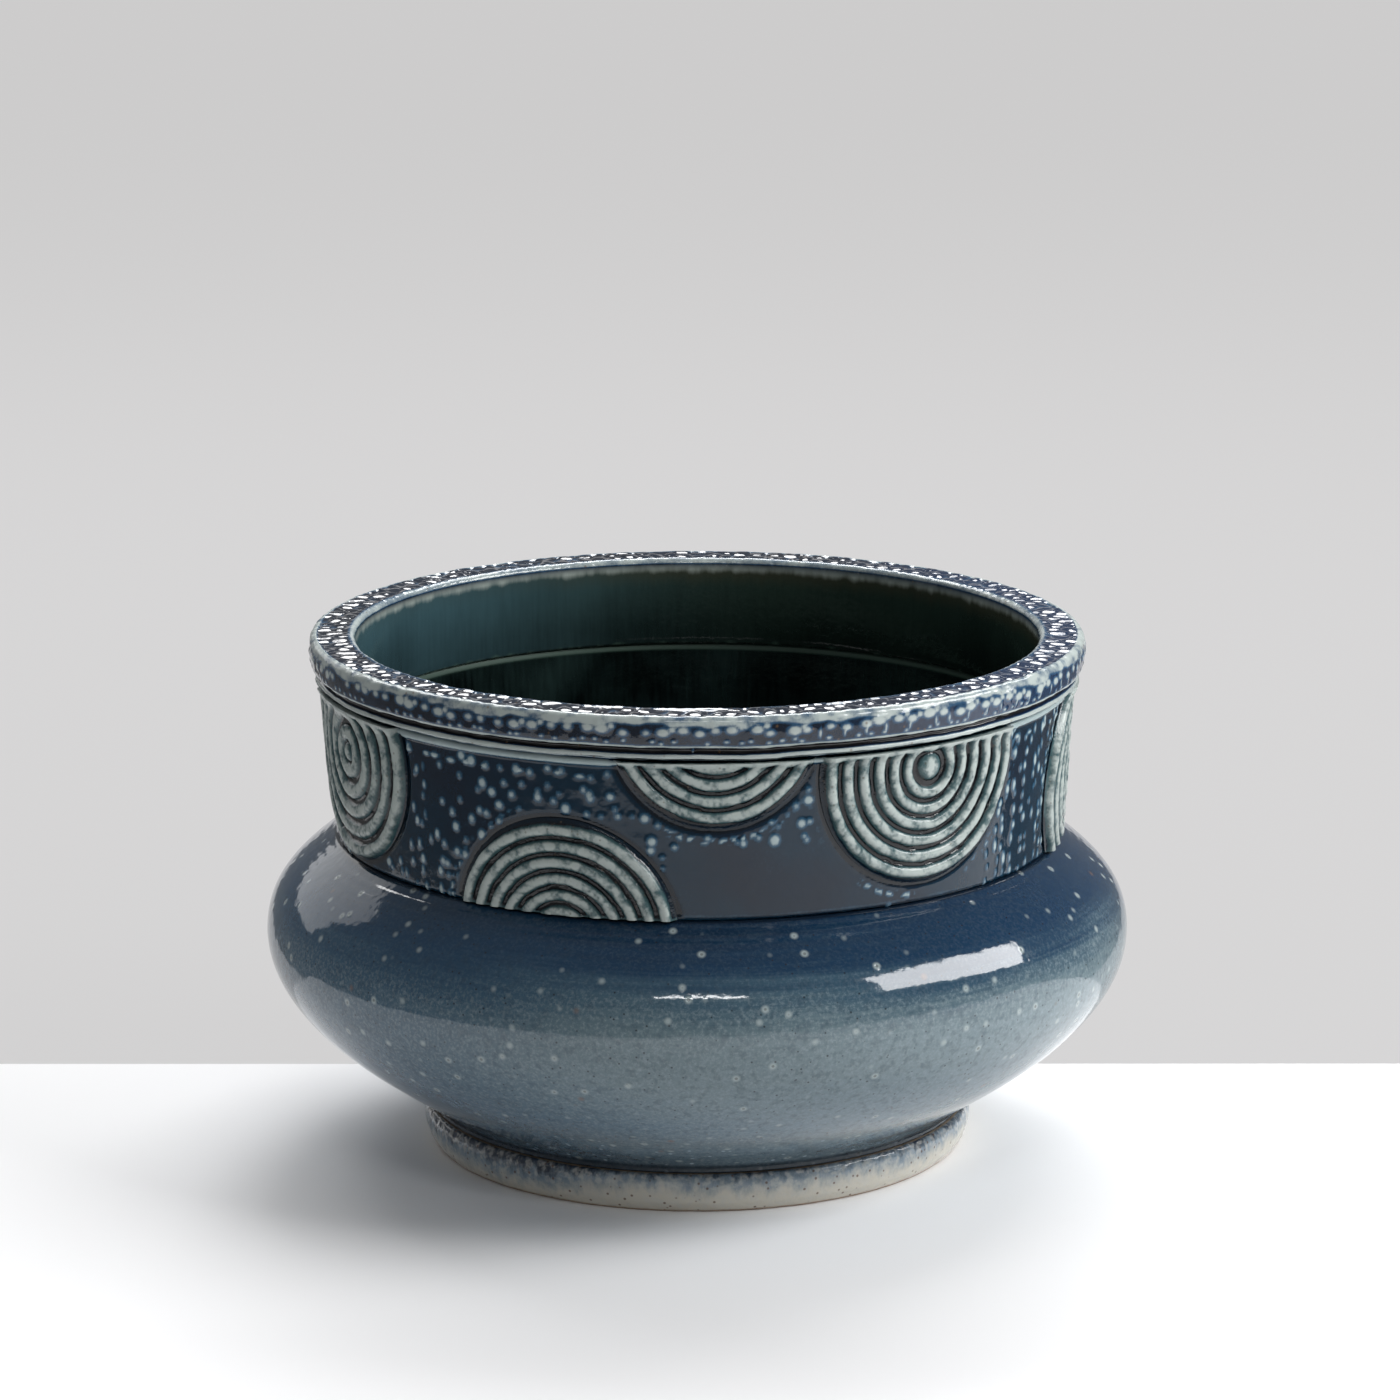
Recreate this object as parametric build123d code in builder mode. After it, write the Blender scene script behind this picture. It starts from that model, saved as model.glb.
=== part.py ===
"""Round stoneware crock: a thrown bowl on a turned foot ring, an upright collar with applied roundels, and a heavy rim.

Millimetres, +Z up. The origin is the centre of the circle that the foot ring rests on. Angles around the pot are
counted from the front (-Y) towards +X. Each clay element is a solid of its own, and meets its neighbours face to face.
"""

from build123d import *
from math import cos, radians, sin, tan
import os

# ---------------------------------------------------------------- overall sizes
height = 162.8               # resting plane to the top of the rim
belly_radius = 135.0         # widest part of the bowl
belly_height = 68.8          # height of that widest part
seam_height = 99.4           # where the collar stands on the shoulder

# ---------------------------------------------------------------- foot ring
foot_radius = 86.2           # at the bulge of the ring
foot_tread = 82.9            # outer radius of the face it rests on
foot_height = 12.4           # resting plane to the top of the ring
foot_wall = 9.0              # width of the resting face
foot_bulge_height = 8.6      # height of the fullest part of the bulge
foot_crown = 1.1             # how far its top edge lies inside the bulge
foot_edge_round = 1.6        # rounding of the top outer edge
foot_seat_width = 4.6        # ledge inside the ring that carries the bowl's boss
foot_seat_drop = 4.0         # how far that ledge lies below the top of the ring

# ---------------------------------------------------------------- bowl
bowl_wall = 7.5              # wall of the belly
bowl_floor = 8.5             # thickness of the floor
bowl_foot_inset = 2.2        # how far the bowl's wall starts inside the bulge of the foot
bowl_strip = 1.6             # short upright strip between the foot ring and the belly
bowl_fillet = (2.0, 5.0)     # how far out and up the wall turns as it leaves the strip
belly_below = 0.53           # fullness of the belly below its widest part, as a share of its rise
belly_above = 0.49           # and above it
belly_below_inside = 0.40    # the same two for the inside of the wall
belly_above_inside = 0.40
inner_handle = 21.0          # straightness of the shoulder's inside
floor_flat = 50.0            # radius of the level middle of the floor
floor_turn = 4.0             # the floor turns up this far inside the bowl's start
shoulder_slope = 36.7        # degrees above level at which the shoulder meets the collar
neck_wall = 4.0              # wall of the upright lip that stands up inside the collar
neck_rise = 8.0              # how far that lip rises above the seam
neck_bend = 5.0              # inside bend from the shoulder into the lip
neck_edge_round = 3.0        # rounding of the lip's inner edge

# ---------------------------------------------------------------- collar
collar_radius = 115.2        # outside, at its top
collar_flare = 2.8           # how much narrower the collar is at the seam
collar_wall = 6.8
collar_bead = 1.2            # how far the thin line round the top of the collar stands out
collar_bead_height = 2.5     # height of that line
seam_chamfer = 0.8           # groove left round the seam

# ---------------------------------------------------------------- rim
rim_height = 14.1            # top of the collar to the top of the rim
rim_overhang = 5.2           # how far the rim's face stands out beyond the collar
rim_inset = 2.3              # how far the rim's skirt stands inside the collar
rim_skirt = 14.7             # how far the skirt laps down inside the collar
rim_skirt_wall = 3.1
rim_draft = 0.6              # how far the ends of the rim's face lie inside its fullest part
rim_undercut = 0.9           # groove under the bead, out from the collar
rim_bead_out = 3.4           # how far the tooled bead stands out beyond the collar
rim_bead_low = 1.1           # lower edge of that bead, above the collar
rim_bead_high = 2.3          # its upper edge
rim_groove_depth = 3.2       # tooled groove between the bead and the rim's face
rim_groove_high = 3.9        # upper end of that groove, above the collar
rim_face_low = 4.8           # lower edge of the rim's face, above the collar
rim_outer_round = 2.2        # rolled outer edge of the flat top
rim_inner_round = 2.0        # rolled inner edge of the flat top

# ---------------------------------------------------------------- roundels
ridge_height = 2.4           # how far the ridges stand proud of the collar
pad_height = 0.8             # how far the valleys between them stand proud
lip_out = 1.2                # extra thickness of the lip where a roundel is trimmed at the rim
lip_height = 3.6             # height of that lip
trim_gap = 0.4               # roundels are trimmed this far from the rim and from the seam

# A stamp is: radius, radius of the middle dome, centre of the first ring, ring spacing, ridge width, rings.
fine_stamp = (36.0, 4.3, 7.9, 4.98, 3.1, 6)
bold_stamp = (33.6, 3.2, 6.2, 6.15, 4.0, 5)
small_stamp = (31.6, 4.3, 7.9, 4.9, 3.0, 5)

# A roundel is: angle around the pot, the edge its centre is set out from, distance from that edge, stamp.
RIM, SEAM = "rim", "seam"
roundels = [
    (-66.0, RIM, -13.9, bold_stamp),
    (-20.7, SEAM, -6.1, fine_stamp),
    (2.7, RIM, 10.3, small_stamp),
    (36.3, RIM, -7.0, fine_stamp),
    (86.0, SEAM, 19.1, bold_stamp),
    (126.0, SEAM, -4.5, fine_stamp),
    (152.0, RIM, 9.0, small_stamp),
    (188.0, RIM, -8.0, fine_stamp),
    (226.0, SEAM, -3.0, bold_stamp),
    (258.0, RIM, 3.0, fine_stamp),
]
section_angle = 62.0         # the turned sections start here, in the widest gap between two roundels

# ---------------------------------------------------------------- sizes that follow from those above
collar_top = height - rim_height
seam_radius = collar_radius - collar_flare
skirt_outer = collar_radius - collar_wall - rim_inset + rim_skirt_wall
mouth_radius = collar_radius - collar_wall - rim_inset
rim_radius = collar_radius + rim_overhang
bowl_start = foot_radius - bowl_foot_inset
foot_inner = foot_tread - foot_wall
seat_radius = foot_inner + foot_seat_width
boss_bottom = foot_height - foot_seat_drop
floor_top = boss_bottom + bowl_floor
os.makedirs("parts", exist_ok=True)

section_plane = Plane(
    origin=(0, 0, 0),
    x_dir=(sin(radians(section_angle)), -cos(radians(section_angle)), 0),
    z_dir=(-cos(radians(section_angle)), -sin(radians(section_angle)), 0),
)


def collar_outside(z):
    """Outer radius of the plain collar at height z."""
    return seam_radius + collar_flare * (z - seam_height) / (collar_top - seam_height)


def collar_inside(z):
    """Inner radius of the collar at height z."""
    return collar_outside(z) - collar_wall


def write(piece, name):
    """Label a finished piece and write it as a STEP file of that name."""
    piece.part.label = name
    export_step(piece.part, f"parts/{name}.step")
    print(f"{name}: {piece.part.volume / 1000:.1f} cm3")


# ---------------------------------------------------------------- foot ring
with BuildPart() as foot_ring:
    with BuildSketch(section_plane) as section:
        with BuildLine():
            bulge = ThreePointArc(
                (foot_tread, 0),
                (foot_radius, foot_bulge_height),
                (foot_radius - foot_crown, foot_height),
            )
            Polyline(
                bulge @ 1,
                (seat_radius, foot_height),
                (seat_radius, boss_bottom),
                (foot_inner, boss_bottom),
                (foot_inner, 0),
                bulge @ 0,
            )
        make_face()
        fillet(section.vertices().group_by(Axis.Y)[-1].sort_by(Axis.X)[-1], foot_edge_round)
    revolve(axis=Axis.Z)
write(foot_ring, "foot_ring")


# ---------------------------------------------------------------- bowl
slope = radians(shoulder_slope)
strip_top = foot_height + bowl_strip
rise_below = belly_height - strip_top
rise_above = seam_height - belly_height
inner_belly = belly_radius - bowl_wall
neck_inner = collar_inside(seam_height) - neck_wall
neck_top = seam_height + neck_rise
neck_start = seam_height - bowl_wall / cos(slope) + (seam_radius - neck_inner) * tan(slope)
shoulder_handle = belly_above * rise_above

with BuildPart() as bowl:
    with BuildSketch(section_plane) as section:
        with BuildLine():
            Polyline(
                (0, boss_bottom),
                (seat_radius, boss_bottom),
                (seat_radius, foot_height),
                (bowl_start, foot_height),
                (bowl_start, strip_top),
            )
            Bezier(
                (bowl_start, strip_top),
                (bowl_start + bowl_fillet[0], strip_top + bowl_fillet[1]),
                (belly_radius, belly_height - belly_below * rise_below),
                (belly_radius, belly_height),
            )
            Bezier(
                (belly_radius, belly_height),
                (belly_radius, belly_height + belly_above * rise_above),
                (seam_radius + shoulder_handle * cos(slope), seam_height - shoulder_handle * sin(slope)),
                (seam_radius, seam_height),
            )
            Polyline(
                (seam_radius, seam_height),
                (collar_inside(seam_height), seam_height),
                (collar_inside(neck_top), neck_top),
                (neck_inner, neck_top),
                (neck_inner, neck_start),
            )
            Bezier(
                (neck_inner, neck_start),
                (neck_inner + inner_handle * cos(slope), neck_start - inner_handle * sin(slope)),
                (inner_belly, belly_height + belly_above_inside * rise_above),
                (inner_belly, belly_height),
            )
            Bezier(
                (inner_belly, belly_height),
                (inner_belly, belly_height - belly_below_inside * rise_below),
                (bowl_start - floor_turn, floor_top),
                (floor_flat, floor_top),
            )
            Polyline((floor_flat, floor_top), (0, floor_top), (0, boss_bottom))
        make_face()
        inside_neck = section.vertices().filter_by_position(Axis.X, neck_inner - 0.01, neck_inner + 0.01)
        fillet(inside_neck.sort_by(Axis.Y)[-1], neck_edge_round)
        inside_neck = section.vertices().filter_by_position(Axis.X, neck_inner - 0.01, neck_inner + 0.01)
        fillet(inside_neck.sort_by(Axis.Y)[0], neck_bend)
    revolve(axis=Axis.Z)
write(bowl, "bowl")


# ---------------------------------------------------------------- collar
skirt_bottom = collar_top - rim_skirt
bead_bottom = collar_top - collar_bead_height

with BuildPart() as collar:
    with BuildSketch(section_plane) as section:
        with BuildLine():
            Polyline(
                (collar_inside(seam_height), seam_height),
                (seam_radius - seam_chamfer, seam_height),
                (collar_outside(seam_height + seam_chamfer), seam_height + seam_chamfer),
                (collar_outside(bead_bottom), bead_bottom),
            )
            ThreePointArc(
                (collar_outside(bead_bottom), bead_bottom),
                (collar_radius + collar_bead, (bead_bottom + collar_top) / 2),
                (collar_radius, collar_top),
            )
            Polyline(
                (collar_radius, collar_top),
                (skirt_outer, collar_top),
                (skirt_outer, skirt_bottom),
                (collar_inside(skirt_bottom), skirt_bottom),
                (collar_inside(seam_height), seam_height),
            )
        make_face()
    revolve(axis=Axis.Z)
write(collar, "collar")


# ---------------------------------------------------------------- rim
bead_radius = collar_radius + rim_bead_out
groove_radius = rim_radius - rim_groove_depth
face_end = rim_radius - rim_draft

with BuildPart() as rim:
    with BuildSketch(section_plane) as section:
        with BuildLine():
            Polyline(
                (mouth_radius, height),
                (mouth_radius, skirt_bottom),
                (skirt_outer, skirt_bottom),
                (skirt_outer, collar_top),
                (collar_radius + rim_undercut, collar_top),
                (collar_radius + rim_undercut, collar_top + rim_bead_low / 2),
                (bead_radius, collar_top + rim_bead_low),
                (bead_radius, collar_top + rim_bead_high),
                (groove_radius, (2 * collar_top + rim_bead_high + rim_groove_high) / 2),
                (groove_radius, collar_top + rim_groove_high),
                (face_end, collar_top + rim_face_low),
            )
            face = ThreePointArc(
                (face_end, collar_top + rim_face_low),
                (rim_radius, (collar_top + rim_face_low + height) / 2),
                (face_end, height),
            )
            Line(face @ 1, (mouth_radius, height))
        make_face()
        top_edges = section.vertices().group_by(Axis.Y)[-1].sort_by(Axis.X)
        fillet(top_edges[-1], rim_outer_round)
        fillet(section.vertices().group_by(Axis.Y)[-1].sort_by(Axis.X)[0], rim_inner_round)
    revolve(axis=Axis.Z)
write(rim, "rim")


# ---------------------------------------------------------------- roundels
low_trim = seam_height + trim_gap
high_trim = collar_top - trim_gap
bed = (collar_radius - skirt_outer) / 2


def crust(proud, lip):
    """A shell between the two trims, from inside the collar's wall to this far proud of it, plus a lip on top."""
    with BuildPart() as shell:
        with BuildSketch(section_plane):
            with BuildLine():
                Polyline(
                    (collar_outside(low_trim) - bed, low_trim),
                    (collar_outside(low_trim) + proud, low_trim),
                    (collar_outside(high_trim - lip_height) + proud, high_trim - lip_height),
                    (collar_outside(high_trim) + proud + lip, high_trim),
                    (collar_outside(high_trim) - bed, high_trim),
                    close=True,
                )
            make_face()
        revolve(axis=Axis.Z)
    return shell.part


ridge_crust = crust(ridge_height, lip_out)
pad_crust = crust(pad_height, lip_out)
reach = rim_radius + lip_out


def facing(angle, edge, distance):
    """The plane that a roundel is laid out on: upright through the pot's axis, facing outwards at its angle."""
    return Plane(
        origin=(0, 0, collar_top + distance if edge == RIM else seam_height + distance),
        x_dir=(cos(radians(angle)), sin(radians(angle)), 0),
        z_dir=(sin(radians(angle)), -cos(radians(angle)), 0),
    )


for number, (angle, edge, distance, stamp) in enumerate(roundels, 1):
    radius, dome_radius, first_ring, spacing, ridge_width, rings = stamp
    face_plane = facing(angle, edge, distance)
    # A roundel is laid after the one before it and trimmed to it. The last one is trimmed to the first as well.
    laid = [roundels[number - 2]] if number > 1 else []
    if number == len(roundels):
        laid.append(roundels[0])

    with BuildPart() as pad:
        with BuildSketch(face_plane):
            Circle(radius)
        extrude(amount=reach)
        add(pad_crust, mode=Mode.INTERSECT)

    with BuildPart() as roundel:
        with BuildSketch(face_plane):
            Circle(radius)
        extrude(amount=reach)
        add(ridge_crust, mode=Mode.INTERSECT)
        with BuildSketch(face_plane):
            Circle(2 * radius)
            for ring in reversed(range(rings)):
                Circle(first_ring + ring * spacing + ridge_width / 2, mode=Mode.SUBTRACT)
                Circle(first_ring + ring * spacing - ridge_width / 2)
            Circle(dome_radius, mode=Mode.SUBTRACT)
        extrude(amount=reach, mode=Mode.SUBTRACT)
        add(pad.part)
        for laid_angle, laid_edge, laid_distance, laid_stamp in laid:
            with BuildSketch(facing(laid_angle, laid_edge, laid_distance)):
                Circle(laid_stamp[0])
            extrude(amount=reach, mode=Mode.SUBTRACT)
        add(collar.part, mode=Mode.SUBTRACT)
    write(roundel, f"roundel_{number:02d}")
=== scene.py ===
# %% [markdown]
# # A salt-glazed stoneware crock
#
# This lesson dresses a round stoneware crock. The engineering model already holds every clay element at
# its true place and size: a foot ring, a bowl, a collar, a rim and ten pressed roundels. Here each of
# them gets the surface that the wheel, the mould and the salt kiln leave on it. The pot stands on the
# origin, +Z is up, the front is -Y, and angles round it are counted from the front towards +X.

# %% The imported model
from math import cos, pi, radians, sin
import bmesh
import bpy
import numpy as np
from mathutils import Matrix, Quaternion, Vector


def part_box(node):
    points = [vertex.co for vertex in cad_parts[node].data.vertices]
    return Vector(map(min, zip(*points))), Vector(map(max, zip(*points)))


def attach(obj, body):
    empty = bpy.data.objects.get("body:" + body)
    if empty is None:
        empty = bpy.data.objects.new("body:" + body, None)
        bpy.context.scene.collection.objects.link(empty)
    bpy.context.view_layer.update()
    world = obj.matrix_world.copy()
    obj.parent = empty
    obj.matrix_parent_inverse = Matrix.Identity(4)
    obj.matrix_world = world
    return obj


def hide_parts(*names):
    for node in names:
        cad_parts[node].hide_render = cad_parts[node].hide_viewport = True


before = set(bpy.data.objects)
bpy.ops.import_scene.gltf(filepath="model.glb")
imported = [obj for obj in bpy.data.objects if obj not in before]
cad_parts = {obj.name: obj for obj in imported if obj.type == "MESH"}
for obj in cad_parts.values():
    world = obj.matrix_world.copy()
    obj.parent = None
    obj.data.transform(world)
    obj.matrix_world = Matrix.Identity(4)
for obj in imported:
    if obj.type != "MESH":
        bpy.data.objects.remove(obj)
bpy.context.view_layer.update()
mm = 0.001


def widest(node):
    """Largest radius of a round node, in millimetres."""
    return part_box(node)[1].x / mm


def lowest(node):
    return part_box(node)[0].z / mm


def highest(node):
    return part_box(node)[1].z / mm


foot_radius = widest("foot_ring")
belly_radius = widest("bowl")
rim_radius = widest("rim")
foot_height = highest("foot_ring")
seam_height = lowest("collar")
collar_top = highest("collar")
height = highest("rim")
print(f"the crock is {2 * belly_radius:.0f} mm across and {height:.1f} mm high")

# %% [markdown]
# ## Camera, table and light
#
# The pot is seen from a little above, through a long lens, so that its circles stay calm ellipses. A
# camera further off with a longer lens flattens more, and a nearer one would swell the belly.
#
# The set is a white table top, and a grey sheet that starts behind the foot and sweeps up out of sight.
# The sheet glows by itself, which keeps it as even as a well lit paper roll. The lights are soft boxes:
# one to the right, like a window, two high behind, which whiten the rim, a weak one behind the left
# shoulder, and a thin strip in front.

# %% The camera
camera = bpy.data.objects.new("camera", bpy.data.cameras.new("camera"))
camera.data.lens = 143.86
camera.data.sensor_width = 36
camera.data.clip_start = 0.05
camera.location = (0.0009, -1.6973, 0.539)
camera.rotation_euler = (radians(76.764), 0, 0)
bpy.context.scene.collection.objects.link(camera)
bpy.context.scene.camera = camera
bpy.context.scene.view_settings.view_transform = "Standard"


# %% A mesh from rows of points
def mesh_object(name, points, faces, material):
    """A smooth mesh of these points, in metres, and faces."""
    mesh = bpy.data.meshes.new(name)
    mesh.from_pydata([tuple(p) for p in points], [], [tuple(f) for f in faces])
    mesh.polygons.foreach_set("use_smooth", [True] * len(mesh.polygons))
    mesh.update()
    piece = bpy.data.objects.new(name, mesh)
    bpy.context.scene.collection.objects.link(piece)
    mesh.materials.append(material)
    return piece


def store(piece, name, values):
    """Keeps one number for each point of a mesh, for its glaze to read."""
    kept = piece.data.attributes.new(name, "FLOAT", "POINT")
    kept.data.foreach_set("value", values.astype(np.float32))


def srgb(red, green, blue):
    """A colour as a painter's 0 to 255 numbers, turned into the linear values that Blender mixes."""
    shares = [c / 255 for c in (red, green, blue)]
    return tuple(c / 12.92 if c <= 0.04045 else ((c + 0.055) / 1.055) ** 2.4 for c in shares) + (1.0,)


# %% Table and backdrop
table_edge = 0.0704
paper = bpy.data.materials.new("white_table")
paper.use_nodes = True
shader = paper.node_tree.nodes["Principled BSDF"]
shader.inputs["Base Color"].default_value = srgb(243, 243, 244)
shader.inputs["Roughness"].default_value = 0.9
front_edge = [(-0.30, -0.30), (-0.12, -0.50), (-0.04, -0.72), (1.6, -0.9)]
outline = [(-0.36, table_edge), *front_edge, (1.6, table_edge)]
table = mesh_object("table", [(x, y, 0) for x, y in outline], [range(len(outline))], paper)

sheet = bpy.data.materials.new("grey_backdrop")
sheet.use_nodes = True
shader = sheet.node_tree.nodes["Principled BSDF"]
shader.inputs["Base Color"].default_value = srgb(60, 60, 61)
shader.inputs["Roughness"].default_value = 1.0
shader.inputs["Specular IOR Level"].default_value = 0.0
shader.inputs["Emission Color"].default_value = srgb(210, 209, 209)
shader.inputs["Emission Strength"].default_value = 0.93
sweep_start, sweep_radius, sweep_height, sweep_steps = 3.6, 0.5, 0.9, 12
near_half_width, widening = 0.27, 0.125
side = [(table_edge, 0), (sweep_start, 0)]
for step in range(1, sweep_steps + 1):
    turn = radians(90 * step / sweep_steps)
    side.append((sweep_start + sweep_radius * sin(turn), sweep_radius * (1 - cos(turn))))
side.append((sweep_start + sweep_radius, sweep_height))
points = [(x * (near_half_width + widening * y), y, z) for y, z in side for x in (-1, 1)]
faces = [(2 * i, 2 * i + 1, 2 * i + 3, 2 * i + 2) for i in range(len(side) - 1)]
backdrop = mesh_object("backdrop", points, faces, sheet)
print("table and backdrop meet", table_edge / mm, "mm behind the pot's axis")


# %% Soft boxes
aim = Vector((0, 0, 0.1))


def softbox(name, azimuth, elevation, distance, width, tall, watts, roll=0):
    """A rectangular light of this size in metres, aimed at the pot and rolled by this many degrees.

    The azimuth is counted from the front towards +X."""
    light = bpy.data.lights.new(name, "AREA")
    light.shape = "RECTANGLE"
    light.size, light.size_y = width, tall
    light.energy = watts
    lamp = bpy.data.objects.new(name, light)
    a, e = radians(azimuth), radians(elevation)
    away = Vector((sin(a) * cos(e), -cos(a) * cos(e), sin(e)))
    lamp.location = aim + away * distance
    tilt = Quaternion((0, 0, 1), radians(roll))
    lamp.rotation_euler = ((-away).to_track_quat("-Z", "Y") @ tilt).to_euler()
    bpy.context.scene.collection.objects.link(lamp)


softbox("right_window", 78, 33, 1.3, 1.0, 0.46, 17, roll=-20)
softbox("back_top", 165, 48, 1.6, 1.2, 0.7, 17)
softbox("high_left", -162, 46, 1.6, 1.2, 0.6, 13)
softbox("back_left", -140, 22, 1.5, 0.9, 0.7, 2)
softbox("front_strip", 1, 41, 1.8, 0.66, 0.07, 3.0)
room = bpy.data.worlds.new("room")
room.use_nodes = True
room.node_tree.nodes["Background"].inputs["Color"].default_value = (1, 1, 1, 1)
room.node_tree.nodes["Background"].inputs["Strength"].default_value = 0.20
bpy.context.scene.world = room

# %% [markdown]
# ## Turning clay
#
# Foot ring, bowl, collar and rim are all thrown on the wheel, so each is one section carried round the
# axis. A Screw modifier would do that, but it can't press dimples into the result. So the section is
# walked in small steps, and the rows and columns become a grid that can be lifted or sunk at every
# crossing.
#
# Three things are kept for each crossing: how far the surface is lifted, how far an edge sways up or
# down, and how thin the glaze lies. Molten salt glaze runs off every edge and collects in every groove.
# An edge therefore fires pale and a groove fires dark, and the glaze's thinness is worked out from how
# sharply the section bends.


# %% Sections
def bezier(start, first, second, end, count=40):
    """Points of a curve that leaves start towards first and reaches end from second."""
    t = np.linspace(0, 1, count)[:, None]
    corners = [np.array(p, float) for p in (start, first, second, end)]
    weights = [(1 - t) ** 3, 3 * t * (1 - t) ** 2, 3 * t**2 * (1 - t), t**3]
    return sum(w * p for w, p in zip(weights, corners))


def rounded(centre, radius, start, end, count=9):
    """Points of an arc in the section, with angles in degrees from the outward direction towards up."""
    turn = np.radians(np.linspace(start, end, count))
    return np.stack([centre[0] + radius * np.cos(turn), centre[1] + radius * np.sin(turn)], 1)


def blurred(values, reach, ring):
    """Values along a section, smoothed over a number of samples."""
    span = int(4 * reach)
    kernel = np.exp(-0.5 * (np.arange(-span, span + 1) / reach) ** 2)
    if ring:
        padded = np.pad(values, span, mode="wrap")
    else:
        padded = np.pad(values, span, mode="reflect", reflect_type="odd")
    return np.convolve(padded, kernel / kernel.sum(), mode="valid")


def smoothstep(low, high, value):
    t = np.clip((value - low) / (high - low), 0, 1)
    return t * t * (3 - 2 * t)


# %% Soft noise that closes up round the pot
# Its grain is true to size at this radius in mm, which is about the collar's.
grain_radius = 115
girth = 2 * pi * grain_radius


def clouds(turn, rise, around, up, seed):
    """Smooth noise from 0 to 1. turn counts whole turns, rise is in mm, around and up are the grain in mm."""
    columns = max(3, round(girth / around))
    rows = int(np.max(rise) / up) + 3
    lattice = np.random.default_rng(seed).random((rows, columns))
    x, y = (turn % 1) * columns, np.maximum(rise / up, 0)
    column, row = np.floor(x).astype(int), np.floor(y).astype(int)
    fx, fy = smoothstep(0, 1, x - column), smoothstep(0, 1, y - row)
    low = lattice[row, column % columns] * (1 - fx) + lattice[row, (column + 1) % columns] * fx
    high = lattice[row + 1, column % columns] * (1 - fx) + lattice[row + 1, (column + 1) % columns] * fx
    return low * (1 - fy) + high * fy


# %% Pebbles, for glaze that set in droplets
def pebbles(turn, rise, around, up, seed):
    """Domes from 0 in the cracks to 1 at their tops, each about this wide and tall in mm."""
    columns = round(girth / around)
    rows = int(np.max(rise) / up) + 4
    jitter = np.random.default_rng(seed).random((2, rows, columns)) * 0.9
    x, y = (turn % 1) * columns, np.maximum(rise / up, 0) + 1
    column, row = np.floor(x).astype(int), np.floor(y).astype(int)
    beyond_all = 9.0
    first = np.full(x.shape, beyond_all)
    second = first.copy()
    for i in (-1, 0, 1):
        for j in (-1, 0, 1):
            here = (row + j, (column + i) % columns)
            away = np.hypot(column + i + jitter[0][here] - x, row + j + jitter[1][here] - y)
            second = np.minimum(second, np.maximum(first, away))
            first = np.minimum(first, away)
    return smoothstep(0.0, 0.55, second - first)


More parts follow.
